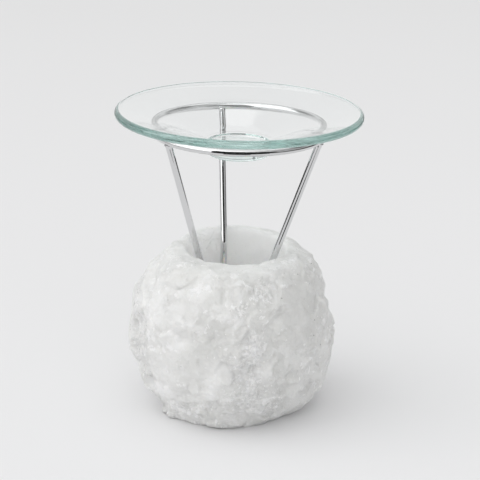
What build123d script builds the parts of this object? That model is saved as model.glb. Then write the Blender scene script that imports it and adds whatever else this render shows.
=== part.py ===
from build123d import *
from math import cos, radians, sin
import os

# Wax melt warmer: a rough-hewn stone block with a drilled candle well, a bent-wire stand whose
# three legs drop into the well, a shallow glass dish lying on the stand's ring, and the tealight
# that heats it. Millimetres, +Z up, the dish's axis on Z, the table at Z = 0.

# ---------------------------------------------------------------- driving dimensions
pad_d = 12.0  # self-adhesive pads under the sawn face
pad_t = 1.5
pad_circle_r = 24.0

well_d = 52.0  # hole-saw bore for the tealight and the stand's legs
well_floor_z = 50.0
rim_z = 89.8  # mean height of the broken rim round the well
rim_tilt = 0.055  # the rim is higher at the back than at the front
rim_outer_r = 4.5
rim_inner_r = 2.4

wire_d = 3.6  # wire of the stand
ring_r = 45.1  # centre line of the ring
ring_z = 154.2
gauge_r, gauge_z = 23.5, 89.0  # where the legs pass the rim of the well
knee_z = 84.5  # the legs turn upright here
leg_bend_r = 9.0
# direction of each leg at the ring and at the rim, degrees from +Y towards +X: hand-bent, so
# none of them is exactly radial
left_leg_az = (-127.4, -123.9)
right_leg_az = (111.7, 120.9)
rear_leg_az = (-12.8, -17.3)
leg_foot_z = well_floor_z + 0.1
start_drop = 0.6  # the leg's centre line starts this far below the ring's

glass_t = 4.2  # slumped float glass
dish_r = 65.0
foot_r = 16.2  # solid foot in the middle of the dish
foot_z = 141.3
inner_z = 148.9  # flat inner bottom
wall_r, wall_z = 20.0, 146.1  # where the bowl's wall starts, underside
bend_r, bend_z = 41.5, 155.29  # where the bowl's wall turns into the flange, underside
lip_r, lip_z = 63.97, 161.4  # underside of the flange at the polished edge
wall_turn_r = 12.0
bend_turn_r = 80.0  # the glass slumped softly over its mould
bottom_turn_r = 30.0

cup_z = well_floor_z + 0.1
cup_h = 15.5
cup_r = 18.6
cup_wall = 0.35
cup_lip_r = 0.45  # rolled lip
wax_top_z = cup_z + 12.6
tab_r, tab_t = 6.5, 0.3
neck_r, neck_h = 1.6, 3.2
wick_r = 0.8
wick_tip_z = 69.0

# Rough stone: radius at 16 directions round the axis, starting at +Y and turning towards +X,
# at each height.
stone_sections = {
    1.5: [40.6, 41.2, 41.2, 40.1, 37.5, 34.2, 33.4, 34.4, 36.2, 35.8, 38.0, 38.9, 37.0, 37.3, 38.2, 39.4],
    8.0: [45.1, 45.6, 45.8, 45.5, 45.0, 42.9, 40.4, 40.7, 41.8, 42.9, 43.4, 42.8, 42.8, 43.4, 43.9, 44.5],
    18.0: [49.6, 49.9, 50.1, 50.1, 49.6, 48.6, 47.6, 47.4, 47.9, 48.9, 49.9, 50.1, 49.6, 49.5, 49.4, 49.5],
    30.0: [52.6, 52.6, 52.7, 52.7, 52.1, 51.6, 51.6, 51.7, 52.1, 52.8, 53.6, 54.2, 54.4, 53.7, 53.1, 52.7],
    43.0: [53.4, 53.2, 53.1, 53.4, 53.1, 52.4, 52.7, 53.2, 53.8, 54.4, 55.1, 55.5, 55.5, 55.1, 54.4, 53.8],
    56.0: [52.6, 52.4, 52.0, 51.3, 51.2, 51.6, 52.1, 52.8, 53.5, 54.2, 54.8, 55.3, 54.9, 54.2, 53.5, 52.9],
    68.0: [49.8, 49.8, 49.4, 48.3, 47.5, 48.5, 49.4, 50.2, 51.0, 51.8, 52.3, 52.3, 52.1, 51.0, 49.9, 49.6],
    78.0: [45.3, 45.5, 45.6, 45.7, 45.1, 44.9, 45.4, 46.1, 46.9, 47.6, 47.8, 47.3, 45.4, 43.9, 44.0, 44.8],
    86.0: [38.4, 38.8, 39.0, 38.6, 38.7, 38.9, 39.4, 40.0, 40.6, 40.9, 40.8, 40.0, 38.2, 35.6, 37.0, 38.2],
    94.0: [30.7, 31.0, 31.0, 30.4, 30.7, 31.7, 32.5, 33.0, 33.3, 33.0, 31.8, 29.8, 28.2, 28.4, 29.8, 30.6],
}

wire_r = wire_d / 2
well_r = well_d / 2


def polar(radius, azimuth):
    return Vector(radius * sin(radians(azimuth)), radius * cos(radians(azimuth)))


def leg_layout(azimuths):
    """Upright plane of one leg and its centre line in that plane: local y is the height, and the
    upright lower part of the leg stands at local x = 0."""
    top, low = polar(ring_r, azimuths[0]), polar(gauge_r, azimuths[1])
    knee = top + (low - top) * ((ring_z - knee_z) / (ring_z - gauge_z))
    out = (top - knee).normalized()
    reach = (top - knee).length
    lean = reach / (ring_z - knee_z)
    plane = Plane(origin=(knee.X, knee.Y, 0), x_dir=(out.X, out.Y, 0), z_dir=(out.Y, -out.X, 0))
    route = [
        (reach - start_drop * lean, ring_z - start_drop),
        (0, knee_z),
        (0, leg_foot_z),
    ]
    return plane, route


def ring_points(radii):
    n = len(radii)
    return [(r * sin(radians(360 * i / n)), r * cos(radians(360 * i / n))) for i, r in enumerate(radii)]


os.makedirs("parts", exist_ok=True)

# ---------------------------------------------------------------- stone base
with BuildPart() as stone_base:
    for height, radii in stone_sections.items():
        with BuildSketch(Plane.XY.offset(height)):
            with BuildLine():
                Spline(*ring_points(radii), periodic=True)
            make_face()
    loft()
    # the broken top face leans forward
    split(
        bisect_by=Plane(origin=(0, 0, rim_z), z_dir=(0, -rim_tilt, 1)),
        keep=Keep.BOTTOM,
    )
    with BuildSketch(Plane.XY.offset(well_floor_z)):
        Circle(well_r)
    extrude(amount=60, mode=Mode.SUBTRACT)
    top_face = stone_base.faces().sort_by(Axis.Z)[-1]
    outer_rim = top_face.outer_wire().edges()
    inner_rim = top_face.inner_wires()[0].edges()
    fillet(outer_rim, rim_outer_r)
    fillet(inner_rim, rim_inner_r)
stone_base.part.label = "stone_base"
export_step(stone_base.part, "parts/stone_base.step")

# ---------------------------------------------------------------- pads under the stone
with BuildPart() as foot_pads:
    with BuildSketch(Plane.XY):
        with PolarLocations(pad_circle_r, 4, start_angle=45):
            Circle(pad_d / 2)
    extrude(amount=pad_t)
    fillet(foot_pads.edges().filter_by(GeomType.CIRCLE).group_by(Axis.Z)[0], 0.3)
foot_pads.part.label = "foot_pads"
export_step(foot_pads.part, "parts/foot_pads.step")

# ---------------------------------------------------------------- wire stand
with BuildPart() as support_ring:
    with BuildSketch(Plane.XZ):
        with Locations((ring_r, ring_z)):
            Circle(wire_r)
    revolve(axis=Axis.Z)
support_ring.part.label = "support_ring"
export_step(support_ring.part, "parts/support_ring.step")

# Each leg starts in the ring's wire, leans inwards down to the well, turns upright just under
# the rim and stands on the well's floor. Its top is coped to the ring for the weld.
left_plane, left_points = leg_layout(left_leg_az)
right_plane, right_points = leg_layout(right_leg_az)
rear_plane, rear_points = leg_layout(rear_leg_az)

with BuildPart() as left_leg:
    with BuildLine(left_plane) as left_route:
        FilletPolyline(*left_points, radius=leg_bend_r)
    with BuildSketch(Plane(origin=left_route.line @ 0, z_dir=left_route.line % 0)):
        Circle(wire_r)
    sweep(path=left_route.line)
    chamfer(left_leg.edges().sort_by(Axis.Z)[0], 0.4)
    add(support_ring.part, mode=Mode.SUBTRACT)
left_leg.part.label = "left_leg"
export_step(left_leg.part, "parts/left_leg.step")

with BuildPart() as right_leg:
    with BuildLine(right_plane) as right_route:
        FilletPolyline(*right_points, radius=leg_bend_r)
    with BuildSketch(Plane(origin=right_route.line @ 0, z_dir=right_route.line % 0)):
        Circle(wire_r)
    sweep(path=right_route.line)
    chamfer(right_leg.edges().sort_by(Axis.Z)[0], 0.4)
    add(support_ring.part, mode=Mode.SUBTRACT)
right_leg.part.label = "right_leg"
export_step(right_leg.part, "parts/right_leg.step")

with BuildPart() as rear_leg:
    with BuildLine(rear_plane) as rear_route:
        FilletPolyline(*rear_points, radius=leg_bend_r)
    with BuildSketch(Plane(origin=rear_route.line @ 0, z_dir=rear_route.line % 0)):
        Circle(wire_r)
    sweep(path=rear_route.line)
    chamfer(rear_leg.edges().sort_by(Axis.Z)[0], 0.4)
    add(support_ring.part, mode=Mode.SUBTRACT)
rear_leg.part.label = "rear_leg"
export_step(rear_leg.part, "parts/rear_leg.step")

# ---------------------------------------------------------------- glass dish
# Underside: solid foot, cone-shaped bowl, then a flatter flange out to the polished edge. The
# inner faces are those of the underside, one glass thickness higher.
wall_dir = Vector(bend_r - wall_r, bend_z - wall_z).normalized()
flange_dir = Vector(lip_r - bend_r, lip_z - bend_z).normalized()
wall_up = Vector(-wall_dir.Y, wall_dir.X) * glass_t
flange_up = Vector(-flange_dir.Y, flange_dir.X) * glass_t
half_turn = wall_dir.get_angle(flange_dir) / 2
bend_up = (wall_up + flange_up).normalized() * (glass_t / cos(radians(half_turn)))
# where the inner face of the wall meets the flat inner bottom
run = (inner_z - (wall_z + wall_up.Y)) / wall_dir.Y
inner_foot_r = wall_r + wall_up.X + wall_dir.X * run
lip_low = (lip_r, lip_z)
lip_up = (lip_r + flange_up.X, lip_z + flange_up.Y)
lip_mid = (
    (lip_low[0] + lip_up[0]) / 2 + flange_dir.X * glass_t * 0.37,
    (lip_low[1] + lip_up[1]) / 2 + flange_dir.Y * glass_t * 0.37,
)
with BuildPart() as glass_dish:
    with BuildSketch(Plane.XZ):
        with BuildLine():
            FilletPolyline(
                (0, foot_z),
                (foot_r, foot_z),
                (foot_r + 0.4, wall_z - 0.75),
                (wall_r, wall_z),
                (bend_r, bend_z),
                lip_low,
                radius=[1.4, 0.6, wall_turn_r, bend_turn_r],
            )
            ThreePointArc(lip_low, lip_mid, lip_up)
            FilletPolyline(
                lip_up,
                (bend_r + bend_up.X, bend_z + bend_up.Y),
                (inner_foot_r, inner_z),
                (0, inner_z),
                radius=[bend_turn_r + glass_t, bottom_turn_r],
            )
            Line((0, inner_z), (0, foot_z))
        make_face()
    revolve(axis=Axis.Z)
glass_dish.part.label = "glass_dish"
export_step(glass_dish.part, "parts/glass_dish.step")

# ---------------------------------------------------------------- tealight
with BuildPart() as tealight_cup:
    with BuildSketch(Plane.XZ):
        with BuildLine():
            Polyline(
                (0, cup_z),
                (cup_r - 1.2, cup_z),
                (cup_r - 0.2, cup_z + 1.0),
                (cup_r, cup_z + cup_h - cup_lip_r),
                (cup_r - cup_wall, cup_z + cup_h - cup_lip_r),
                (cup_r - 0.2 - cup_wall, cup_z + 1.1),
                (cup_r - 1.3, cup_z + cup_wall),
                (0, cup_z + cup_wall),
                close=True,
            )
        make_face()
        with Locations((cup_r + cup_lip_r - cup_wall, cup_z + cup_h - cup_lip_r)):
            Circle(cup_lip_r)
    revolve(axis=Axis.Z)
tealight_cup.part.label = "tealight_cup"
export_step(tealight_cup.part, "parts/tealight_cup.step")

with BuildPart() as wick_tab:
    with BuildSketch(Plane.XY.offset(cup_z + cup_wall)):
        Circle(tab_r)
    extrude(amount=tab_t)
    with BuildSketch(Plane.XY.offset(cup_z + cup_wall + tab_t)):
        Circle(neck_r)
    extrude(amount=neck_h)
    with BuildSketch(Plane.XY.offset(cup_z + cup_wall + tab_t)):
        Circle(wick_r)
    extrude(amount=neck_h, mode=Mode.SUBTRACT)
wick_tab.part.label = "wick_tab"
export_step(wick_tab.part, "parts/wick_tab.step")

with BuildPart() as wick:
    with BuildSketch(Plane.XY.offset(cup_z + cup_wall + tab_t)):
        Circle(wick_r)
    extrude(amount=wick_tip_z - (cup_z + cup_wall + tab_t))
    fillet(wick.edges().sort_by(Axis.Z)[-1], 0.4)
wick.part.label = "wick"
export_step(wick.part, "parts/wick.step")

with BuildPart() as tealight_wax:
    with BuildSketch(Plane.XZ):
        with BuildLine():
            # the inside of the cup, filled up to the wax level, with a thin meniscus at the wall
            wax_wall_r = cup_r - 0.2 - cup_wall + 0.2 * (wax_top_z - cup_z - 1.1) / (cup_h - cup_lip_r - 1.1)
            Polyline(
                (0, cup_z + cup_wall),
                (cup_r - 1.3, cup_z + cup_wall),
                (cup_r - 0.2 - cup_wall, cup_z + 1.1),
                (wax_wall_r, wax_top_z),
                (wax_wall_r - 0.8, wax_top_z - 0.4),
                (0, wax_top_z - 0.4),
                close=True,
            )
        make_face()
    revolve(axis=Axis.Z)
    add(wick_tab.part, mode=Mode.SUBTRACT)
    add(wick.part, mode=Mode.SUBTRACT)
tealight_wax.part.label = "tealight_wax"
export_step(tealight_wax.part, "parts/tealight_wax.step")
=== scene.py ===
import bpy
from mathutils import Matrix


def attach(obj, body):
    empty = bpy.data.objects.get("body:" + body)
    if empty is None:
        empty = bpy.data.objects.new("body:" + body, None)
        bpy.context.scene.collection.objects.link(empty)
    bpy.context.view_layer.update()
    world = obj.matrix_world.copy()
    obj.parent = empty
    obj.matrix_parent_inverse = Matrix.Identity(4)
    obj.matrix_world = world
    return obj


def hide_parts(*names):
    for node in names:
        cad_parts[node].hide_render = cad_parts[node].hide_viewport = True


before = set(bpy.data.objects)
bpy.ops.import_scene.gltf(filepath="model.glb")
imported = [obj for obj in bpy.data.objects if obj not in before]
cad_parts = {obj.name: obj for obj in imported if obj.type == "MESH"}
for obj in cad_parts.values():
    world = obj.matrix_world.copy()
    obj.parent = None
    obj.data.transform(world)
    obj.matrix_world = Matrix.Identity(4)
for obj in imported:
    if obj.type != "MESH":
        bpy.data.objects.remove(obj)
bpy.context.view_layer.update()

import bpy, bmesh, math
import numpy as np
from mathutils import Matrix, Vector, noise, kdtree
from mathutils.bvhtree import BVHTree

sc = bpy.context.scene
noise.seed_set(20417)
MM = 0.001

# ---------------------------------------------------------------- sizes, mm, as in the CAD
RING_R, RING_Z, WIRE_R = 45.1, 154.2, 1.8
GAUGE_R, GAUGE_Z, KNEE_Z, LEG_BEND, LEG_FOOT = 23.5, 89.0, 84.5, 9.0, 50.1
LEGS = {"left_leg": (-127.4, -123.9), "right_leg": (111.7, 120.9), "rear_leg": (-12.8, -17.3)}
WELL_R, WELL_FLOOR, RIM_Z, RIM_TILT = 26.0, 50.0, 89.8, 0.055
GLASS_T = 4.2
FOOT_R, FOOT_Z, INNER_Z = 16.2, 141.3, 148.9
WALL_R, WALL_Z = 20.0, 146.1
BEND_R, BEND_Z, LIP_R, LIP_Z = 41.5, 155.29, 63.97, 161.4
WALL_TURN, BEND_TURN, BOTTOM_TURN = 12.0, 80.0, 30.0
CUP_Z, CUP_H, CUP_R, CUP_WALL = 50.1, 15.5, 18.6, 0.35

# ---------------------------------------------------------------- camera
CAM_Y, CAM_Z, CAM_X = -824.75, 371.49, 1.985
PITCH, FOCAL, ROLL = 0.325, 1629.147, math.radians(1.44)
fwd = Vector((0, math.cos(PITCH), -math.sin(PITCH)))
up0 = Vector((0, math.sin(PITCH), math.cos(PITCH)))
rt0 = Vector((1, 0, 0))
cam_right = rt0 * math.cos(ROLL) + up0 * math.sin(ROLL)
cam_up = -rt0 * math.sin(ROLL) + up0 * math.cos(ROLL)
cam = bpy.data.cameras.new("camera")
cam.sensor_width = 36
cam.lens = FOCAL * 36 / 480
cam.clip_start, cam.clip_end = 0.01, 60
cam_ob = bpy.data.objects.new("camera", cam)
sc.collection.objects.link(cam_ob)
cam_ob.matrix_world = Matrix((
    (cam_right.x, cam_up.x, -fwd.x, CAM_X * MM),
    (cam_right.y, cam_up.y, -fwd.y, CAM_Y * MM),
    (cam_right.z, cam_up.z, -fwd.z, CAM_Z * MM),
    (0, 0, 0, 1),
))
sc.camera = cam_ob
sc.view_settings.view_transform = "Standard"
sc.view_settings.look = "None"
sc.cycles.max_bounces = 40
sc.cycles.transmission_bounces = 40
sc.cycles.glossy_bounces = 40
sc.cycles.diffuse_bounces = 8
sc.cycles.caustics_reflective = True
sc.cycles.caustics_refractive = True


# ---------------------------------------------------------------- node helpers
class Nodes:
    """Short hand for building a node tree."""

    def __init__(self, tree):
        self.t = tree

    def node(self, kind, **props):
        n = self.t.nodes.new(kind)
        for k, v in props.items():
            setattr(n, k, v)
        return n

    def link(self, a, b):
        self.t.links.new(a, b)

    def put(self, value, socket):
        if isinstance(value, bpy.types.NodeSocket):
            self.t.links.new(value, socket)
        else:
            socket.default_value = value

    def math(self, op, *ins, clamp=False):
        n = self.node("ShaderNodeMath", operation=op)
        n.use_clamp = clamp
        for i, v in enumerate(ins):
            self.put(v, n.inputs[i])
        return n.outputs[0]

    def step(self, value, lo, hi, a=0.0, b=1.0, smooth=True):
        n = self.node("ShaderNodeMapRange", interpolation_type="SMOOTHSTEP" if smooth else "LINEAR")
        self.put(value, n.inputs["Value"])
        n.inputs["From Min"].default_value = lo
        n.inputs["From Max"].default_value = hi
        n.inputs["To Min"].default_value = a
        n.inputs["To Max"].default_value = b
        return n.outputs["Result"]

    def coords(self, scale=(1, 1, 1)):
        c = self.node("ShaderNodeTexCoord").outputs["Object"]
        if tuple(scale) != (1, 1, 1):
            m = self.node("ShaderNodeMapping")
            m.inputs["Scale"].default_value = scale
            self.link(c, m.inputs["Vector"])
            c = m.outputs["Vector"]
        return c

    def noise(self, vec, scale, detail=4.0, rough=0.55, distort=0.0):
        n = self.node("ShaderNodeTexNoise")
        self.link(vec, n.inputs["Vector"])
        n.inputs["Scale"].default_value = scale
        n.inputs["Detail"].default_value = detail
        n.inputs["Roughness"].default_value = rough
        n.inputs["Distortion"].default_value = distort
        return n

    def voronoi(self, vec, scale, feature="F1", random=1.0):
        n = self.node("ShaderNodeTexVoronoi", feature=feature)
        self.link(vec, n.inputs["Vector"])
        n.inputs["Scale"].default_value = scale
        if "Randomness" in n.inputs:
            n.inputs["Randomness"].default_value = random
        return n

    def mix(self, fac, a, b):
        n = self.node("ShaderNodeMix", data_type="RGBA")
        self.put(fac, n.inputs[0])
        self.put(a, n.inputs[6])
        self.put(b, n.inputs[7])
        return n.outputs[2]

    def bump(self, height, strength, distance, normal=None):
        n = self.node("ShaderNodeBump")
        self.link(height, n.inputs["Height"])
        n.inputs["Strength"].default_value = strength
        n.inputs["Distance"].default_value = distance
        if normal is not None:
            self.link(normal, n.inputs["Normal"])
        return n.outputs["Normal"]


def material(name):
    m = bpy.data.materials.new(name)
    m.use_nodes = True
    return m, Nodes(m.node_tree), m.node_tree.nodes["Principled BSDF"]


def grey(v, warm=0.0):
    return (v * (1 + warm), v, v * (1 - warm), 1)


# ---------------------------------------------------------------- world: a soft white studio
AMBIENT, ZENITH, FILL_LEFT, KEY = 0.525, 0.72, 0.52, 0.30
STONE_LOW, STONE_HIGH, STONE_SSS = (0.778, 0.779, 0.764, 1), (0.840, 0.840, 0.830, 1), 0.0024
KEY_DIR = (0.60, 0.10, -0.79)
world = bpy.data.worlds.new("studio")
sc.world = world
world.use_nodes = True
W = Nodes(world.node_tree)
background = world.node_tree.nodes["Background"]
sep = W.node("ShaderNodeSeparateXYZ")
W.link(W.node("ShaderNodeTexCoord").outputs["Generated"], sep.inputs[0])
wx, wy, wz = sep.outputs
az = W.math("ARCTAN2", wx, W.math("MULTIPLY", wy, -1.0))
el = W.math("ARCSINE", wz)
rad = math.radians


def band(v, a, b, c, d):
    """1 between b and c, falling to 0 at a and d (degrees)."""
    return W.math("MULTIPLY", W.step(v, rad(a), rad(b)), W.math("SUBTRACT", 1.0, W.step(v, rad(c), rad(d))))


path_node = W.node("ShaderNodeLightPath")
bent_ray = path_node.outputs["Is Transmission Ray"]
# 1 for what the wire under the dish mirrors, as seen through the dish
under_glass = W.math("GREATER_THAN", W.math("SUBTRACT", path_node.outputs["Transmission Depth"], W.math("MULTIPLY", bent_ray, 1.5)), 1.2)
# what polished metal and glass see: a pale room, a soft box on the left, one overhead, and the
# unlit side behind the camera
grow = W.step(el, rad(14), rad(34))
dark = W.math(
    "MULTIPLY",
    W.step(W.math("SUBTRACT", az, W.math("SUBTRACT", rad(-17), W.math("MULTIPLY", grow, rad(18)))), rad(-3), rad(3)),
    W.math("SUBTRACT", 1.0, W.step(az, rad(46), rad(52))),
)
dark = W.math("MULTIPLY", dark, band(el, -1, 2, 48, 54))
dark_low = W.math("MULTIPLY", band(az, -20, -14, 46, 52), band(el, 9, 13, 30, 34))
in_face = W.math("MULTIPLY", path_node.outputs["Is Singular Ray"], W.math("LESS_THAN", path_node.outputs["Glossy Depth"], 1.5))
in_wire = W.math("SUBTRACT", 1.0, W.math("MAXIMUM", bent_ray, in_face))
dark = W.math("ADD", W.math("MULTIPLY", dark, in_wire), W.math("MULTIPLY", dark_low, bent_ray))
front_top = W.math("MULTIPLY", band(az, -78, -62, 62, 78), band(el, 50, 56, 78, 88))
behind = W.math("MULTIPLY", W.step(W.math("ABSOLUTE", az), rad(138), rad(156)), W.math("MULTIPLY", band(el, -3, 0, 13, 22), under_glass))
left = W.math("MULTIPLY", band(az, -100, -92, -16, -10), band(el, 3, 8, 60, 70))
right = band(az, 30, 40, 120, 140)
edges = W.math("MAXIMUM", band(az, -142, -134, -108, -100), band(az, 84, 92, 122, 132))
edges = W.math("MULTIPLY", edges, band(el, 20, 26, 40, 55))
wide = W.math("MAXIMUM", band(az, -148, -138, -100, -90), band(az, 78, 88, 134, 144))
wide = W.math("MULTIPLY", W.math("MULTIPLY", wide, band(el, 12, 18, 46, 58)), under_glass)
edges = W.math("MAXIMUM", edges, wide)
skirt = W.math("MULTIPLY", W.math("MAXIMUM", band(az, -120, -110, -40, -30), band(az, 40, 50, 120, 130)), band(el, -6, -5, 1.5, 3))
fx = W.math("DIVIDE", wx, W.math("MAXIMUM", wz, 0.02))
fy = W.math("DIVIDE", wy, W.math("MAXIMUM", wz, 0.02))
box_x = W.math("MULTIPLY", W.step(fx, -0.80, -0.72), W.math("SUBTRACT", 1.0, W.step(fx, 0.50, 0.58)))
box_y = W.math("MULTIPLY", W.step(fy, 0.20, 0.24), W.math("SUBTRACT", 1.0, W.step(fy, 0.60, 0.64)))
above = W.math("MULTIPLY", W.math("MULTIPLY", box_x, box_y), W.math("GREATER_THAN", wz, 0.05))
lum = W.math("ADD", 0.86, W.math("MULTIPLY", left, 0.9))
lum = W.math("ADD", lum, W.math("MULTIPLY", above, 0.7))
lum = W.math("ADD", lum, W.math("MULTIPLY", front_top, 0.8))
lum = W.math("MULTIPLY", lum, W.math("SUBTRACT", 1.0, W.math("MULTIPLY", right, 0.42)))
lum = W.math("MULTIPLY", lum, W.math("SUBTRACT", 1.0, W.math("MULTIPLY", dark, 0.98)))
lum = W.math("MULTIPLY", lum, W.math("SUBTRACT", 1.0, W.math("MULTIPLY", edges, 0.88)))
lum = W.math("MULTIPLY", lum, W.math("SUBTRACT", 1.0, W.math("MULTIPLY", behind, 0.55)))
lum = W.math("MULTIPLY", lum, W.math("SUBTRACT", 1.0, W.math("MULTIPLY", skirt, 0.85)))
W.link(lum, background.inputs["Strength"])
background.inputs["Color"].default_value = (1, 1, 1, 1)
# what lights the stone and the floor: the same room, evenly diffused
dome = W.node("ShaderNodeBackground")
dome.inputs["Color"].default_value = (1.0, 1.0, 1.0, 1)
fill = W.math("ADD", AMBIENT, W.math("MULTIPLY", W.step(el, rad(45), rad(70)), ZENITH))
fill = W.math("ADD", fill, W.math("MULTIPLY", W.math("MULTIPLY", band(az, -140, -85, -5, 60), band(el, 3, 11, 58, 72)), FILL_LEFT))
W.link(fill, dome.inputs["Strength"])
# the empty backdrop itself stays plain
plain = W.node("ShaderNodeBackground")
plain.inputs["Color"].default_value = (0.765, 0.77, 0.775, 1)
pick0 = W.node("ShaderNodeMixShader")
polished = W.math("MAXIMUM", path_node.outputs["Is Glossy Ray"], path_node.outputs["Is Transmission Ray"])
W.link(polished, pick0.inputs[0])
W.link(dome.outputs[0], pick0.inputs[1])
W.link(background.outputs[0], pick0.inputs[2])
pick = W.node("ShaderNodeMixShader")
W.link(path_node.outputs["Is Camera Ray"], pick.inputs[0])
W.link(pick0.outputs[0], pick.inputs[1])
W.link(plain.outputs[0], pick.inputs[2])
W.link(pick.outputs[0], world.node_tree.nodes["World Output"].inputs["Surface"])

# soft key light from the upper left
sun = bpy.data.lights.new("key", "SUN")
sun.energy = KEY
sun.angle = rad(50)
sun_ob = bpy.data.objects.new("key", sun)
sc.collection.objects.link(sun_ob)
sun_ob.rotation_euler = Vector(KEY_DIR).to_track_quat("-Z", "Y").to_euler()

# ---------------------------------------------------------------- floor
bm = bmesh.new()
bmesh.ops.create_circle(bm, cap_ends=True, segments=128, radius=8.0)
me = bpy.data.meshes.new("floor")
bm.to_mesh(me)
bm.free()
floor = bpy.data.objects.new("floor", me)
sc.collection.objects.link(floor)
m, N, P = material("floor")
n = N.noise(N.coords(), 3.0, 2.0)
place = N.node("ShaderNodeSeparateXYZ")
N.link(N.coords(), place.inputs[0])
# painted light: the floor's colour is paler towards the camera and greyer far back, standing in for the fall-off of the
# studio light
painted_light_near = N.step(place.outputs[1], 1.3, -0.2, smooth=False)
N.link(N.mix(N.math("ADD", painted_light_near, N.math("MULTIPLY", N.math("SUBTRACT", n.outputs["Fac"], 0.5), 0.1)), (0.775, 0.776, 0.778, 1), (0.856, 0.856, 0.864, 1)), P.inputs["Base Color"])
P.inputs["Roughness"].default_value = 0.7
P.inputs["Specular IOR Level"].default_value = 0.0
me.materials.append(m)

# the dark room beyond the table, seen only in polished metal and glass
me = bpy.data.meshes.new("table_edge")
xa, xb, yb, zb = -1.5, 0.48, -1.3, 0.0004
me.from_pydata(
    [(-6, -6, zb), (6, -6, zb), (6, yb, zb), (-6, yb, zb), (-6, 6, zb), (xa, 6, zb), (xa, yb, zb), (xb, yb, zb), (6, 6, zb), (xb, 6, zb),
     (-0.110, -0.34, zb), (0.085, -0.34, zb), (0.060, -0.20, zb), (-0.070, -0.20, zb)],
    [], [(0, 1, 2, 3), (3, 6, 5, 4), (7, 2, 8, 9), (10, 11, 12, 13)],
)
m, N, P = material("dark_room")
n = N.noise(N.coords(), 2.0, 2.0)
N.link(N.mix(n.outputs["Fac"], grey(0.015), grey(0.03)), P.inputs["Base Color"])
P.inputs["Specular IOR Level"].default_value = 0.0
me.materials.append(m)
card_me = bpy.data.meshes.new("front_card")
card_me.from_pydata([(-0.040, -0.085, 0.136), (0.050, -0.085, 0.136), (0.050, -0.085, 0.206), (-0.040, -0.085, 0.206)], [], [(0, 1, 2, 3)])
card_mat, N, P = material("dark_card")
n = N.noise(N.coords(), 2.0, 2.0)
N.link(N.mix(n.outputs["Fac"], grey(0.015), grey(0.03)), P.inputs["Base Color"])
P.inputs["Specular IOR Level"].default_value = 0.0
rays = N.node("ShaderNodeLightPath")
in_face = N.math("MULTIPLY", rays.outputs["Is Singular Ray"], N.math("SUBTRACT", 1.0, rays.outputs["Is Transmission Ray"]))
in_face = N.math("MULTIPLY", in_face, N.math("LESS_THAN", rays.outputs["Glossy Depth"], 1.5))
mirrored = N.math("MULTIPLY", N.math("GREATER_THAN", rays.outputs["Glossy Depth"], 0.5), N.math("SUBTRACT", 1.0, in_face))
unseen = N.node("ShaderNodeBsdfTransparent")
either = N.node("ShaderNodeMixShader")
N.link(mirrored, either.inputs[0])
N.link(unseen.outputs[0], either.inputs[1])
N.link(P.outputs[0], either.inputs[2])
N.link(either.outputs[0], card_mat.node_tree.nodes["Material Output"].inputs["Surface"])
card_me.materials.append(card_mat)
for name, data, bent_too in (("table_edge", me, False), ("front_card", card_me, True)):
    room = bpy.data.objects.new(name, data)
    sc.collection.objects.link(room)
    room.visible_camera = False
    room.visible_diffuse = False
    room.visible_transmission = bent_too
    room.visible_shadow = False
    room.visible_volume_scatter = False

# ---------------------------------------------------------------- mesh helpers


def add_object(name, verts, faces, mat=None, smooth=True):
    me = bpy.data.meshes.new(name)
    me.from_pydata([tuple(v) for v in verts], [], [tuple(f) for f in faces])
    bm = bmesh.new()
    bm.from_mesh(me)
    bmesh.ops.remove_doubles(bm, verts=bm.verts, dist=2e-7)
    bmesh.ops.recalc_face_normals(bm, faces=bm.faces)
    bm.to_mesh(me)
    bm.free()
    if smooth:
        me.polygons.foreach_set("use_smooth", [True] * len(me.polygons))
    ob = bpy.data.objects.new(name, me)
    sc.collection.objects.link(ob)
    if mat:
        me.materials.append(mat)
    return ob


def lathe(name, profile, mat, segments=256, closed=False):
    """Turns a profile of (radius, height) in mm round the axis."""
    pts = list(profile)
    n, k = segments, len(pts)
    verts, faces = [], []
    for i in range(n):
        a = 2 * math.pi * i / n
        s, c = math.sin(a), math.cos(a)
        verts += [(r * s * MM, r * c * MM, z * MM) for r, z in pts]
    last = k if closed else k - 1
    for i in range(n):
        j = (i + 1) % n
        for q in range(last):
            p = (q + 1) % k
            faces.append((i * k + q, j * k + q, j * k + p, i * k + p))
    return add_object(name, verts, faces, mat)


def rounded(pts, radii, n=10):
    """A polyline of (radius, height) with its corners rounded."""
    out = [tuple(pts[0])]
    for i in range(1, len(pts) - 1):
        p, a, b = Vector(pts[i]), Vector(pts[i - 1]), Vector(pts[i + 1])
        u, v = (a - p).normalized(), (b - p).normalized()
        ang = u.angle(v)
        r = radii[i - 1]
        d = r / math.tan(ang / 2)
        s, e = p + u * d, p + v * d
        c = p + (u + v).normalized() * (r / math.sin(ang / 2))
        a0, a1 = math.atan2(s.y - c.y, s.x - c.x), math.atan2(e.y - c.y, e.x - c.x)
        da = (a1 - a0 + math.pi) % (2 * math.pi) - math.pi
        out += [(c.x + r * math.cos(a0 + da * t / n), c.y + r * math.sin(a0 + da * t / n)) for t in range(n + 1)]
    out.append(tuple(pts[-1]))
    return out


# ---------------------------------------------------------------- chrome
chrome, N, P = material("chrome_plate")
co = N.coords()
n = N.noise(co, 900.0, 3.0)
P.inputs["Base Color"].default_value = (0.70, 0.702, 0.707, 1)
P.inputs["Metallic"].default_value = 1.0
N.link(N.step(n.outputs["Fac"], 0.3, 0.7, 0.025, 0.06, smooth=False), P.inputs["Roughness"])
n2 = N.noise(co, 160.0, 2.0)
N.link(N.bump(n2.outputs["Fac"], 0.02, 0.0002), P.inputs["Normal"])

ring = lathe(
    "ring_wire",
    [(RING_R + WIRE_R * math.cos(2 * math.pi * i / 32), RING_Z + WIRE_R * math.sin(2 * math.pi * i / 32)) for i in range(32)],
    chrome, segments=288, closed=True,
)
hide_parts("support_ring")
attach(ring, "stand")


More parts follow.
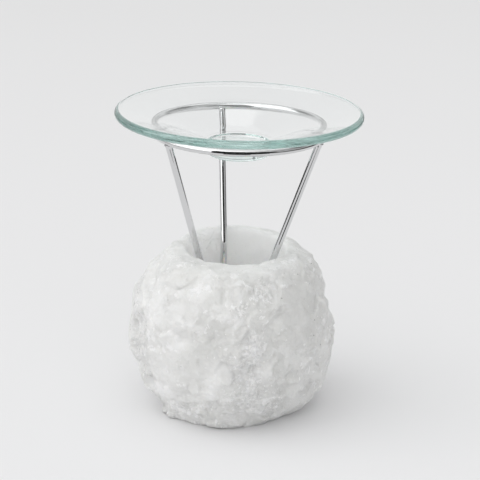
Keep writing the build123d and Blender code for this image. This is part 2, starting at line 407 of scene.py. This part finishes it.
def polar(radius, azimuth):
    return Vector((radius * math.sin(rad(azimuth)), radius * math.cos(rad(azimuth)), 0))


def leg_mesh(name, azimuths):
    top, low = polar(RING_R, azimuths[0]), polar(GAUGE_R, azimuths[1])
    knee = top + (low - top) * ((RING_Z - KNEE_Z) / (RING_Z - GAUGE_Z))
    ex, ez = (top - knee).normalized(), Vector((0, 0, 1))
    ey = Vector((ex.y, -ex.x, 0))
    reach = (top - knee).length
    lean = reach / (RING_Z - KNEE_Z)
    path = rounded([(reach - 1.25 * lean, RING_Z - 1.25), (0, KNEE_Z), (0, LEG_FOOT)], [LEG_BEND], 14)
    path = path[:-1] + [(0, LEG_FOOT + 0.4), (0, LEG_FOOT)]
    k = 32
    verts, faces = [], []
    rows = []
    for i, p in enumerate(path):
        p = Vector(p)
        a = Vector(path[max(i - 1, 0)])
        b = Vector(path[min(i + 1, len(path) - 1)])
        t = (b - a).normalized()
        nrm = Vector((-t.y, t.x))
        r = WIRE_R - (0.4 if i == len(path) - 1 else 0.0)
        rows.append((p, nrm, r))
    # a small weld fillet flares out where the wire meets the ring
    t0 = (Vector(path[1]) - Vector(path[0])).normalized()
    n0 = Vector((-t0.y, t0.x))
    flare = [(Vector(path[0]) + t0 * d, n0, WIRE_R + f) for d, f in ((0.0, 0.42), (0.5, 0.26), (1.0, 0.13), (1.6, 0.04), (2.3, 0.0))]
    rows = flare + rows[1:]
    for p, nrm, r in rows:
        for j in range(k):
            a = 2 * math.pi * j / k
            q = p + nrm * (r * math.cos(a))
            v = knee + ex * q.x + ez * q.y + ey * (r * math.sin(a))
            verts.append(v * MM)
    for i in range(len(rows) - 1):
        for j in range(k):
            l = (j + 1) % k
            faces.append((i * k + j, i * k + l, (i + 1) * k + l, (i + 1) * k + j))
    faces.append(tuple(range(k)))
    faces.append(tuple((len(rows) - 1) * k + j for j in range(k)))
    ob = add_object(name, verts, faces, chrome)
    for f in ob.data.polygons:
        if len(f.vertices) > 4:
            f.use_smooth = False
    return ob


for node, azimuths in LEGS.items():
    ob = leg_mesh(node.replace("_leg", "_wire"), azimuths)
    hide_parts(node)
    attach(ob, "stand")

# ---------------------------------------------------------------- glass dish


def support(pts, tight=0.06, step=2.5):
    """More points along a profile, close to each corner, so that smooth shading stays true."""
    out = [tuple(pts[0])]
    for a, b in zip(pts[:-1], pts[1:]):
        p, q = Vector(a), Vector(b)
        l = (q - p).length
        if l > 4 * tight:
            u = (q - p) / l
            k = max(1, int(l / step))
            ds = [tight] + [l * i / k for i in range(1, k)] + [l - tight]
            out += [tuple(p + u * e) for e in ds if tight <= e <= l - tight]
        out.append(tuple(b))
    return out


wall = Vector((BEND_R - WALL_R, BEND_Z - WALL_Z)).normalized()
flange = Vector((LIP_R - BEND_R, LIP_Z - BEND_Z)).normalized()
wall_up = Vector((-wall.y, wall.x)) * GLASS_T
flange_up = Vector((-flange.y, flange.x)) * GLASS_T
bend_up = (wall_up + flange_up).normalized() * (GLASS_T / math.cos(wall.angle(flange) / 2))
run = (INNER_Z - (WALL_Z + wall_up.y)) / wall.y
inner_foot = WALL_R + wall_up.x + wall.x * run
lip_low = Vector((LIP_R, LIP_Z))
lip_up = lip_low + flange_up
mid = (lip_low + lip_up) / 2
under = rounded(
    [(0, FOOT_Z), (FOOT_R, FOOT_Z), (FOOT_R + 0.4, WALL_Z - 0.75), (WALL_R, WALL_Z), (BEND_R, BEND_Z), lip_low],
    [1.4, 0.6, WALL_TURN, BEND_TURN], 10,
)
over = rounded(
    [lip_up, Vector((BEND_R, BEND_Z)) + bend_up, (inner_foot, INNER_Z), (0, INNER_Z)],
    [BEND_TURN + GLASS_T, BOTTOM_TURN], 16,
)
# the fire-polished edge: the arc through the two lips that stands 0.37 of the thickness proud
sag = 0.37 * GLASS_T
half = GLASS_T / 2
arc_r = (half * half + sag * sag) / (2 * sag)
arc_c = mid - flange * (arc_r - sag)
span = math.asin(half / arc_r)
edge = []
for i in range(1, 16):
    a = -span + 2 * span * i / 16
    edge.append(tuple(arc_c + flange * (arc_r * math.cos(a)) + flange_up.normalized() * (arc_r * math.sin(a))))
glass, N, P = material("clear_glass")
P.inputs["Base Color"].default_value = (1, 1, 1, 1)
P.inputs["Roughness"].default_value = 0.0
P.inputs["Transmission Weight"].default_value = 1.0
P.inputs["IOR"].default_value = 1.52
va = N.node("ShaderNodeVolumeAbsorption")
va.inputs["Color"].default_value = (0.50, 0.74, 0.70, 1)
va.inputs["Density"].default_value = 11.0
N.link(va.outputs[0], glass.node_tree.nodes["Material Output"].inputs["Volume"])
n = N.noise(N.coords(), 22.0, 1.0)
N.link(N.bump(n.outputs["Fac"], 0.02, 0.0005), P.inputs["Normal"])
# soft light falls through the dish on to the stone and the table
rays = N.node("ShaderNodeLightPath")
clear = N.node("ShaderNodeBsdfTransparent")
clear.inputs["Color"].default_value = (0.945, 0.955, 0.953, 1)
through = N.node("ShaderNodeMixShader")
N.link(N.math("MAXIMUM", rays.outputs["Is Shadow Ray"], rays.outputs["Is Diffuse Ray"]), through.inputs[0])
N.link(P.outputs[0], through.inputs[1])
N.link(clear.outputs[0], through.inputs[2])
N.link(through.outputs[0], glass.node_tree.nodes["Material Output"].inputs["Surface"])
dish = lathe("dish_glass", support(under) + edge + support(over), glass, segments=320)
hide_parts("glass_dish")
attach(dish, "dish")

# ---------------------------------------------------------------- rock


def mesh_arrays(me):
    co = np.empty(len(me.vertices) * 3)
    me.vertices.foreach_get("co", co)
    no = np.empty(len(me.vertices) * 3)
    me.vertices.foreach_get("normal", no)
    return co.reshape(-1, 3), no.reshape(-1, 3)


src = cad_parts["stone_base"]
tmp = bpy.data.objects.new("rock_tmp", src.data.copy())
sc.collection.objects.link(tmp)
mod = tmp.modifiers.new("remesh", "REMESH")
mod.mode = "VOXEL"
mod.voxel_size = 0.00080
mod.use_smooth_shade = True
dg = bpy.context.evaluated_depsgraph_get()
rock_me = bpy.data.meshes.new_from_object(tmp.evaluated_get(dg))
bpy.data.objects.remove(tmp)
rock_me.name = "rock"
co, no = mesh_arrays(rock_me)
v = co * 1000.0
count = len(v)
rr = np.hypot(v[:, 0], v[:, 1])
turn = np.degrees(np.arctan2(v[:, 0], v[:, 1]))
rim_here = RIM_Z + RIM_TILT * v[:, 1]


def smooth(x, a, b):
    t = np.clip((x - a) / (b - a), 0, 1)
    return t * t * (3 - 2 * t)


def field(scale, seed, octaves=4, gain=0.5, at=None):
    """Fractal noise at every vertex, about -1 to 1. scale is the size of its largest lumps in mm."""
    off = Vector((seed * 17.31, seed * 5.77, seed * 11.13))
    pts = v if at is None else at
    out = np.empty(count)
    for i, p in enumerate(pts):
        out[i] = noise.fractal(Vector(p) / scale + off, 1.0 / gain ** 0.6, 2.0, octaves)
    return out


def warp(amount, scale, seed):
    """Vertices pushed about by noise, so that borders come out broken and not straight."""
    off = Vector((seed * 3.1, seed * 7.7, seed * 1.9))
    out = np.empty((count, 3))
    for i, p in enumerate(v):
        out[i] = noise.noise_vector(Vector(p) / scale + off)
    return v + out * amount


def facets(spacing, tilt, step_mm, seed, wobble, blend=0.09):
    """Height in mm of a surface broken into flat faces: each vertex lies on the tilted plane of its nearest seed."""
    gen = np.random.default_rng(seed)
    picks = []
    cell = {}
    for i in gen.permutation(count):
        key = tuple((v[i] // spacing).astype(int))
        painted_light_near = any(
            np.sum((v[q] - v[i]) ** 2) < spacing * spacing * 0.72
            for dx in (-1, 0, 1) for dy in (-1, 0, 1) for dz in (-1, 0, 1)
            for q in cell.get((key[0] + dx, key[1] + dy, key[2] + dz), ())
        )
        if not painted_light_near:
            cell.setdefault(key, []).append(i)
            picks.append(i)
        if len(picks) > 9000:
            break
    kd = kdtree.KDTree(len(picks))
    for j, i in enumerate(picks):
        kd.insert(Vector(v[i]), j)
    kd.balance()
    tilts = gen.normal(0, tilt, (len(picks), 3))
    level = gen.normal(0, step_mm, len(picks))
    w = warp(wobble, spacing * 0.45, seed % 97)
    seeds = v[np.array(picks)]
    ia, ib = np.empty(count, int), np.empty(count, int)
    gap = np.empty(count)
    for i in range(count):
        (_, a, da), (_, b, db) = kd.find_n(Vector(w[i]), 2)
        ia[i], ib[i], gap[i] = a, b, db - da
    ha = level[ia] + np.einsum("ij,ij->i", w - seeds[ia], tilts[ia])
    hb = level[ib] + np.einsum("ij,ij->i", w - seeds[ib], tilts[ib])
    t = 0.5 + 0.5 * np.minimum(gap / (blend * spacing), 1.0)
    return ha * t + hb * (1 - t), gap, ia


# where each vertex falls in the front view, to set the big faces of the break
d = v - np.array([CAM_X, CAM_Y, CAM_Z])
depth = d @ np.array(fwd)
pu = 240 + FOCAL * (d @ np.array(cam_right)) / depth
pv = 240 - FOCAL * (d @ np.array(cam_up)) / depth
front = smooth(-(no * d).sum(1) / np.linalg.norm(d, axis=1), -0.05, 0.2)


def blob(u0, v0, ru, rv, power=1.5):
    return np.exp(-((((pu - u0) / ru) ** 2 + ((pv - v0) / rv) ** 2) ** power)) * front


def ridge_u(pts):
    return np.interp(pv, [float(p[1]) for p in pts], [float(p[0]) for p in pts])


well = (1 - smooth(rr, WELL_R + 0.2, WELL_R + 2.2)) * smooth(v[:, 2], WELL_FLOOR - 1, WELL_FLOOR)
rimz = smooth(v[:, 2] - rim_here, -7.0, -1.0)
under_face = (no[:, 2] < -0.9) & (v[:, 2] < 2.2)
outside = (1 - well) * (1 - 0.75 * rimz)

lumps = field(30.0, 1, 2)
rough = field(5.0, 2, 4)
fine = field(2.2, 4, 3)
zone = smooth(field(15.0, 3, 3), -0.05, 0.40)

# smooth lobes and cleavage faces, and the sugary broken zones between them
calm = np.clip(
    0.85 * blob(299, 308, 19, 28) + 0.75 * blob(184, 364, 30, 24) + 0.55 * blob(190, 298, 26, 16) + 0.5 * blob(292, 352, 12, 16)
    + 0.6 * blob(213, 384, 9, 14) + 0.5 * blob(232, 330, 12, 8), 0, 0.88,
)
zone = np.clip(
    zone * 0.28 + 0.9 * blob(263, 291, 11, 14) + 0.75 * blob(240, 309, 12, 7) + 0.9 * blob(247, 372, 15, 26)
    + 0.6 * blob(140, 330, 8, 60) + 0.7 * blob(180, 409, 36, 7) + 0.8 * blob(256, 404, 34, 12) + 0.7 * blob(256, 345, 9, 20), 0, 1,
) * (1 - calm)

big, big_edge, big_id = facets(19.0, 0.095, 0.35, 11, 5.0, 0.24)
med, med_edge, med_id = facets(9.5, 0.12, 0.13, 12, 0.9, 0.14)
small, small_edge, small_id = facets(2.1, 0.20, 0.08, 13, 0.5, 0.12)

# thin flakes left standing on the break, with crisp borders
flake_f = field(9.0, 21, 4, 0.5, warp(1.6, 5.0, 31))
flake_g = field(4.2, 22, 4, 0.5, warp(0.9, 3.0, 32))
plates = 0.42 * smooth(flake_f, 0.10, 0.19) + 0.30 * smooth(flake_f, 0.42, 0.50) + (0.3 + 0.7 * zone) * 0.24 * smooth(flake_g, 0.18, 0.30)

h = 0.75 * lumps + (1 - 0.4 * calm) * 0.9 * big + (1 - calm) * ((0.90 + 0.15 * zone) * med + 0.8 * plates + 0.8 * zone * small + 0.05 * fine) + 0.04 * rough

# left shoulder: the broken face stands proud of a strip along the block's left side
edge_u = ridge_u([(172, 252), (163, 266), (155, 286), (150.5, 310), (148, 340), (147, 364), (145, 386)])
along = smooth(pv, 252, 276) * (1 - smooth(pv, 362, 392)) * front
side = pu - edge_u
h += along * (1.3 * smooth(side, -2.2, 1.2) * (1 - smooth(side, 2.0, 26.0)) - 0.7 * (1 - smooth(side, -4, 0)) * smooth(side, -16, -6))
# front: a step in the break left of a small sunken triangular face
edge_u = ridge_u([(219.5, 266), (221, 280), (221, 300), (219, 316)])
along = smooth(pv, 265, 274) * (1 - smooth(pv, 299, 312)) * front
side = pu - edge_u
t = side / np.maximum(2.0, np.interp(pv, [264, 300, 316], [20, 6, 3]))
h += along * (-0.55 * smooth(side, -0.9, 0.9) * (1 - smooth(t, 0.3, 1.1)) + 0.25 * (1 - smooth(-side, 1.0, 16.0)) * (side < 0))
# lower left: the smooth lobe ends in a broken lower edge
edge_v = np.interp(pu, [140, 163, 185, 215, 224], [384, 398, 403, 402, 394])
along = smooth(pu, 146, 164) * (1 - smooth(pu, 212, 224)) * front
below = pv - edge_v
h += along * (0.55 * (1 - smooth(below, -0.8, 1.0)) * smooth(below, -16, -2) - 0.55 * smooth(below, -0.6, 1.2) * (1 - smooth(below, 6, 14)))
# right: a nick in the outline, and flat chips low down
h -= 1.1 * np.exp(-(((pu - 325) / 6) ** 2 + ((pv - 296) / 3.2) ** 2))
h -= 0.6 * blob(281, 383, 9, 8, 2.0)
h += 0.5 * blob(296, 378, 7, 10, 2.0)

h = h * outside
h = np.where(v[:, 2] < 7, h * (0.25 + 0.75 * smooth(v[:, 2], 1.8, 7.0)), h)
# the drilled wall is only lightly rough, and only ever wider than the bore
h_well = well * (-0.22 - 0.16 * np.abs(rough) - 0.08 * np.abs(fine))
lip_up_mm = 0.9 * smooth(np.abs(turn), 110, 150) + 0.35 * smooth(turn, 90, 120) * (1 - smooth(turn, 120, 150))
h_rim = rimz * (1 - well) * (0.65 * lumps + 0.12 * rough + 0.35 * (1 - calm) * med + lip_up_mm * smooth(no[:, 2], 0.2, 0.8))
h = np.clip(h, -2.3, 1.9) + h_well + h_rim
h[under_face] = 0.0
floor_of_well = (np.abs(v[:, 2] - WELL_FLOOR) < 0.4) & (rr < WELL_R - 0.6)
h[floor_of_well] = np.minimum(-0.05, -0.12 - 0.10 * np.abs(rough[floor_of_well]))
v2 = v + no * h[:, None]
# the lower edge is broken too: it wanders in and out along the sawn face
ragged = 1.4 * field(11.0, 41, 3) + 1.2 * (smooth(field(6.0, 42, 2), -0.1, 0.15) - 0.5)
push = np.clip(ragged, -1.9, 1.3)
for u, w, ru, rv, k in ((169, 413, 9, 9, 2.4), (160, 402, 6, 8, 1.0), (272, 421, 6, 6, 0.9), (284, 414, 5, 6, -1.3), (297, 408, 6, 7, 0.9), (254, 424, 5, 5, -0.8), (230, 426, 10, 5, 0.8)):
    push = push + k * blob(u, w, ru, rv)
push = push * (1 - smooth(v[:, 2], 4.0, 13.0)) * smooth(rr, 30.5, 33.5)
v2[:, 0] += push * v[:, 0] / np.maximum(rr, 1.0)
v2[:, 1] += push * v[:, 1] / np.maximum(rr, 1.0)
# and hangs a little below the pads' top all round, close to the table
skirt_mm = (1 - smooth(v[:, 2], 2.0, 9.0)) * smooth(rr, 30.8, 33.2)
v2[:, 2] = np.maximum(v2[:, 2] - 1.35 * skirt_mm, 1.5 - 1.35 * skirt_mm)
rock_me.vertices.foreach_set("co", (v2 * MM).ravel())
rock_me.update()
rock_me.polygons.foreach_set("use_smooth", [True] * len(rock_me.polygons))


def attribute(me, name, values):
    a = me.attributes.new(name, "FLOAT", "POINT")
    a.data.foreach_set("value", np.asarray(values, np.float32))


# how milky the stone is here, and how sugary its grain
milk = 0.07 * (smooth(flake_f, 0.09, 0.21) - 0.35) + 0.05 * (smooth(flake_g, 0.17, 0.32) - 0.35)
for u, w, ru, rv, k in (
    (156, 316, 7, 15, 0.11), (203, 281, 11, 10, 0.07), (225, 319, 9, 6, 0.16), (202, 332, 10, 7, 0.09), (170, 346, 9, 6, 0.11),
    (213, 384, 10, 13, 0.13), (160, 391, 10, 7, 0.11), (272, 294, 4, 16, 0.09), (253, 342, 4, 14, 0.07), (262, 363, 7, 8, 0.09),
    (176, 264, 12, 10, 0.06), (240, 262, 40, 5, 0.07), (280, 262, 12, 5, 0.05),
    (299, 308, 19, 30, -0.18), (227, 288, 7, 14, -0.07), (238, 350, 14, 12, -0.09), (247, 380, 14, 12, -0.07), (190, 366, 20, 14, -0.06),
    (141, 330, 6, 50, -0.08), (285, 385, 16, 14, -0.08), (240, 408, 30, 6, -0.06), (182, 312, 9, 10, -0.05),
):
    milk = milk + k * blob(u, w, ru, rv)
attribute(rock_me, "milk", milk)
# clearer and cloudier parts of the block, mixed with painted light and shade: lighter on the lower left and the left
# strip, darker on the right side and lower right
cloud_and_painted_shading = np.zeros(count)
for u, w, ru, rv, k in (
    (225, 319, 8, 5, 0.10), (213, 384, 9, 13, 0.08), (210, 401, 17, 10, 0.13), (160, 395, 15, 12, 0.14), (141, 325, 7, 36, 0.07),
    (205, 292, 18, 18, 0.06), (242, 300, 11, 12, -0.06), (302, 340, 26, 52, -0.06), (270, 393, 17, 14, -0.08),
):
    cloud_and_painted_shading = cloud_and_painted_shading + k * blob(u, w, ru, rv)
attribute(rock_me, "cloud_and_painted_shading", cloud_and_painted_shading)
attribute(rock_me, "grain", np.clip(zone * (1 - well), 0, 1))
attribute(rock_me, "bore", well)
attribute(rock_me, "calm", calm)


def scratch(pts, width):
    """1 along a line drawn in the front view, on the far side of the bore."""
    best = np.full(count, 99.0)
    for (ax, ay), (bx, by) in zip(pts[:-1], pts[1:]):
        lx, ly = bx - ax, by - ay
        t = np.clip(((pu - ax) * lx + (pv - ay) * ly) / (lx * lx + ly * ly), 0, 1)
        best = np.minimum(best, np.hypot(pu - ax - t * lx, pv - ay - t * ly))
    return np.exp(-((best / width) ** 2))


crack = np.maximum.reduce([
    scratch([(207, 249), (210, 244), (212, 240), (218, 239)], 0.8),
    scratch([(204, 240), (208, 241), (211, 238), (214, 232)], 0.7),
    scratch([(199, 234), (205, 235)], 0.7),
    scratch([(216, 244), (217, 250)], 0.6),
]) * (no[:, 1] < 0) * smooth(v[:, 1], -5, 5) * (rr < WELL_R + 3)
attribute(rock_me, "crack", crack * (0.5 + 0.5 * smooth(fine, -0.2, 0.3)))
rock = bpy.data.objects.new("rock", rock_me)
sc.collection.objects.link(rock)
print("rock", count, "vertices", len(rock_me.polygons), "faces", "height", float(h.min()), float(h.max()))

# small dark grains in the stone, set where they show in the front view
tree = BVHTree.FromPolygons([tuple(p * MM) for p in v2], [tuple(f.vertices) for f in rock_me.polygons])
eye = Vector((CAM_X, CAM_Y, CAM_Z)) * MM
grains = []
for u, w, size in ((311.3, 263.3, 0.38), (297.7, 274.3, 0.45), (281.8, 298.3, 0.42), (314.7, 320.0, 0.5), (313.8, 335.3, 0.45), (320.5, 344.5, 0.5), (277, 268, 0.3), (168, 300, 0.28), (181, 366.7, 0.3)):
    ray = fwd + cam_right * ((u - 240) / FOCAL) + cam_up * ((240 - w) / FOCAL)
    hit = tree.ray_cast(eye, ray.normalized())[0]
    if hit is not None:
        grains.append((hit, size * MM))

stone, N, P = material("white_rock")
co = N.coords()
mk = N.node("ShaderNodeAttribute", attribute_name="milk").outputs["Fac"]
gr = N.node("ShaderNodeAttribute", attribute_name="grain").outputs["Fac"]
bore = N.node("ShaderNodeAttribute", attribute_name="bore").outputs["Fac"]
ck = N.node("ShaderNodeAttribute", attribute_name="crack").outputs["Fac"]


def vec(op, a, b):
    n = N.node("ShaderNodeVectorMath", operation=op)
    N.put(a, n.inputs[0])
    N.put(b, n.inputs[1])
    return n.outputs["Value" if op in ("DOT_PRODUCT", "DISTANCE") else "Vector"]


def crystals(scale):
    """Small flat faces, each with its own tilt: a random number for each face, and its height in metres."""
    vo = N.voronoi(bent, scale)
    s = N.node("ShaderNodeSeparateColor")
    N.link(vo.outputs["Color"], s.inputs[0])
    height = vec("DOT_PRODUCT", vec("SUBTRACT", bent, vo.outputs["Position"]), vec("SUBTRACT", vo.outputs["Color"], (0.5, 0.5, 0.5)))
    return s.outputs[0], s.outputs[1], height


shift = N.noise(co, 260.0, 3.0, 0.6)
bent = vec("ADD", co, vec("MULTIPLY", vec("SUBTRACT", shift.outputs["Color"], (0.5, 0.5, 0.5)), (0.004, 0.004, 0.004)))
broad = N.noise(co, 52.0, 9.0, 0.63, 0.8)
tight = N.noise(co, 170.0, 7.0, 0.64, 0.6)
soft = N.noise(co, 38.0, 3.0, 0.55, 0.4)
grain = N.noise(co, 700.0, 4.0, 0.62)
face_a, face_b, face_h = crystals(230.0)
bit_a, bit_b, bit_h = crystals(700.0)
patch = N.step(N.math("ADD", N.math("ADD", broad.outputs["Fac"], mk), N.math("MULTIPLY", N.math("SUBTRACT", face_b, 0.5), 0.10)), 0.545, 0.570)
still = N.node("ShaderNodeAttribute", attribute_name="calm").outputs["Fac"]
spread = N.math("SUBTRACT", N.math("ADD", N.math("MULTIPLY", mk, 0.7), N.math("MULTIPLY", gr, 0.075)), N.math("MULTIPLY", still, 0.05))
chip = N.step(N.math("ADD", tight.outputs["Fac"], N.math("ADD", spread, N.math("MULTIPLY", N.math("SUBTRACT", face_a, 0.5), 0.16))), 0.632, 0.644)
crumbs = N.noise(co, 430.0, 5.0, 0.62, 0.5)
crumb = N.step(N.math("ADD", crumbs.outputs["Fac"], N.math("ADD", N.math("SUBTRACT", N.math("MULTIPLY", gr, 0.14), N.math("MULTIPLY", still, 0.09)), N.math("MULTIPLY", N.math("SUBTRACT", bit_b, 0.5), 0.10))), 0.668, 0.680)
flakes = N.math("MULTIPLY", N.step(bit_a, 0.84, 0.86), N.step(gr, 0.25, 0.80, 0.0, 0.9))
plain_body = N.mix(N.step(soft.outputs["Fac"], 0.3, 0.7), STONE_LOW, STONE_HIGH)
# flat breaks, each a little clearer or cloudier than its neighbours
sway = N.noise(co, 75.0, 4.0, 0.55)
swayed = vec("ADD", co, vec("MULTIPLY", vec("SUBTRACT", sway.outputs["Color"], (0.5, 0.5, 0.5)), (0.014, 0.014, 0.014)))
wide_break = N.node("ShaderNodeSeparateColor")
N.link(N.voronoi(swayed, 88.0).outputs["Color"], wide_break.inputs[0])
tones_and_painted_shading = N.math("MULTIPLY", N.math("SUBTRACT", wide_break.outputs[0], 0.5), 0.055)
tones_and_painted_shading = N.math("ADD", tones_and_painted_shading, N.math("MULTIPLY", N.math("SUBTRACT", face_b, 0.5), 0.035))
tones_and_painted_shading = N.math("ADD", tones_and_painted_shading, N.math("MULTIPLY", gr, -0.035))
# painted light and shade from the blob attribute: the body colour is lightened on the lower left and darkened on the
# right and lower right
tones_and_painted_shading = N.math("ADD", tones_and_painted_shading, N.node("ShaderNodeAttribute", attribute_name="cloud_and_painted_shading").outputs["Fac"])
toned = N.node("ShaderNodeVectorMath", operation="SCALE")
N.link(plain_body, toned.inputs[0])
N.link(N.math("ADD", 1.0, tones_and_painted_shading), toned.inputs["Scale"])
body = vec("MINIMUM", toned.outputs["Vector"], (0.985, 0.985, 0.98))
body = N.mix(N.math("MULTIPLY", patch, 0.30), body, (0.940, 0.940, 0.937, 1))
body = N.mix(N.math("MULTIPLY", chip, 0.90), body, (0.975, 0.975, 0.971, 1))
body = N.mix(N.math("MULTIPLY", flakes, 0.80), body, (0.980, 0.977, 0.968, 1))
body = N.mix(N.math("MULTIPLY", crumb, 0.95), body, (0.990, 0.988, 0.980, 1))
# painted shade: scattered crystal cells in the sugary zones are darkened, for the small shadows among the white specks
shade = N.math("MULTIPLY", N.step(bit_b, 0.80, 0.90), N.math("MULTIPLY", gr, 0.26))
body = N.mix(shade, body, (0.64, 0.64, 0.62, 1))
# painted light: the drilled bore is coloured almost white, far paler than the body, so the well reads as brightly lit
body = N.mix(bore, body, (0.985, 0.984, 0.977, 1))
body = N.mix(N.math("MULTIPLY", ck, 0.45), body, (0.45, 0.45, 0.44, 1))
for where, size in grains:
    n = N.node("ShaderNodeVectorMath", operation="DISTANCE")
    N.link(co, n.inputs[0])
    n.inputs[1].default_value = where
    body = N.mix(N.step(n.outputs["Value"], size * 0.45, size, 0.85, 0.0), body, (0.16, 0.15, 0.145, 1))
N.link(body, P.inputs["Base Color"])
N.link(N.step(N.math("ADD", grain.outputs["Fac"], N.math("MULTIPLY", flakes, -0.4)), 0.2, 0.75, 0.20, 0.55), P.inputs["Roughness"])
P.inputs["Subsurface Weight"].default_value = 0.75
P.inputs["Subsurface Radius"].default_value = (1.0, 0.98, 0.95)
N.link(N.step(bore, 0.0, 1.0, STONE_SSS, 0.050), P.inputs["Subsurface Scale"])
P.inputs["IOR"].default_value = 1.50
b0 = N.bump(N.math("ADD", chip, patch), 0.35, 0.0004)
calm_f = N.step(gr, 0.0, 0.7, 0.30, 1.0)
b1 = N.bump(N.math("MULTIPLY", face_h, N.math("MULTIPLY", calm_f, 0.55)), 1.0, 1.0, b0)
b2 = N.bump(N.math("MULTIPLY", bit_h, N.math("MULTIPLY", calm_f, 0.60)), 1.0, 1.0, b1)
N.link(N.bump(grain.outputs["Fac"], 0.30, 0.0003, b2), P.inputs["Normal"])
rock_me.materials.clear()
rock_me.materials.append(stone)
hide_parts("stone_base")
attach(rock, "stone")

# ---------------------------------------------------------------- tealight and pads
foil, N, P = material("thin_aluminium")
co = N.coords((1, 1, 0.08))
n = N.noise(co, 1500.0, 4.0)
N.link(N.mix(n.outputs["Fac"], (0.72, 0.72, 0.73, 1), (0.84, 0.84, 0.85, 1)), P.inputs["Base Color"])
P.inputs["Metallic"].default_value = 1.0
N.link(N.step(n.outputs["Fac"], 0.3, 0.7, 0.2, 0.36, smooth=False), P.inputs["Roughness"])
N.link(N.bump(n.outputs["Fac"], 0.1, 0.0001), P.inputs["Normal"])

wax, N, P = material("paraffin")
co = N.coords()
n = N.noise(co, 260.0, 4.0)
N.link(N.mix(n.outputs["Fac"], (0.88, 0.865, 0.82, 1), (0.945, 0.935, 0.91, 1)), P.inputs["Base Color"])
N.link(N.step(n.outputs["Fac"], 0.3, 0.7, 0.35, 0.5, smooth=False), P.inputs["Roughness"])
P.inputs["Subsurface Weight"].default_value = 0.6
P.inputs["Subsurface Scale"].default_value = 0.003
N.link(N.bump(n.outputs["Fac"], 0.15, 0.0003), P.inputs["Normal"])

cotton, N, P = material("cotton_wick")
co = N.coords()
wv = N.node("ShaderNodeTexWave", wave_type="BANDS", bands_direction="DIAGONAL")
N.link(co, wv.inputs["Vector"])
wv.inputs["Scale"].default_value = 700.0
wv.inputs["Distortion"].default_value = 1.5
N.link(N.mix(wv.outputs["Fac"], (0.72, 0.69, 0.61, 1), (0.92, 0.90, 0.85, 1)), P.inputs["Base Color"])
P.inputs["Roughness"].default_value = 0.85
N.link(N.bump(wv.outputs["Fac"], 0.6, 0.0002), P.inputs["Normal"])

tin, N, P = material("tin_plate")
n = N.noise(N.coords(), 700.0, 3.0)
N.link(N.mix(n.outputs["Fac"], (0.55, 0.55, 0.55, 1), (0.7, 0.7, 0.69, 1)), P.inputs["Base Color"])
P.inputs["Metallic"].default_value = 1.0
N.link(N.step(n.outputs["Fac"], 0.3, 0.7, 0.25, 0.45, smooth=False), P.inputs["Roughness"])

rubber, N, P = material("soft_pad")
n = N.noise(N.coords(), 1200.0, 3.0)
N.link(N.mix(n.outputs["Fac"], (0.60, 0.60, 0.59, 1), (0.72, 0.72, 0.71, 1)), P.inputs["Base Color"])
N.link(N.step(n.outputs["Fac"], 0.3, 0.7, 0.6, 0.8, smooth=False), P.inputs["Roughness"])
N.link(N.bump(n.outputs["Fac"], 0.2, 0.0001), P.inputs["Normal"])

for node, mat in (("tealight_cup", foil), ("tealight_wax", wax), ("wick", cotton), ("wick_tab", tin), ("foot_pads", rubber)):
    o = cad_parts[node]
    o.data.materials.clear()
    o.data.materials.append(mat)
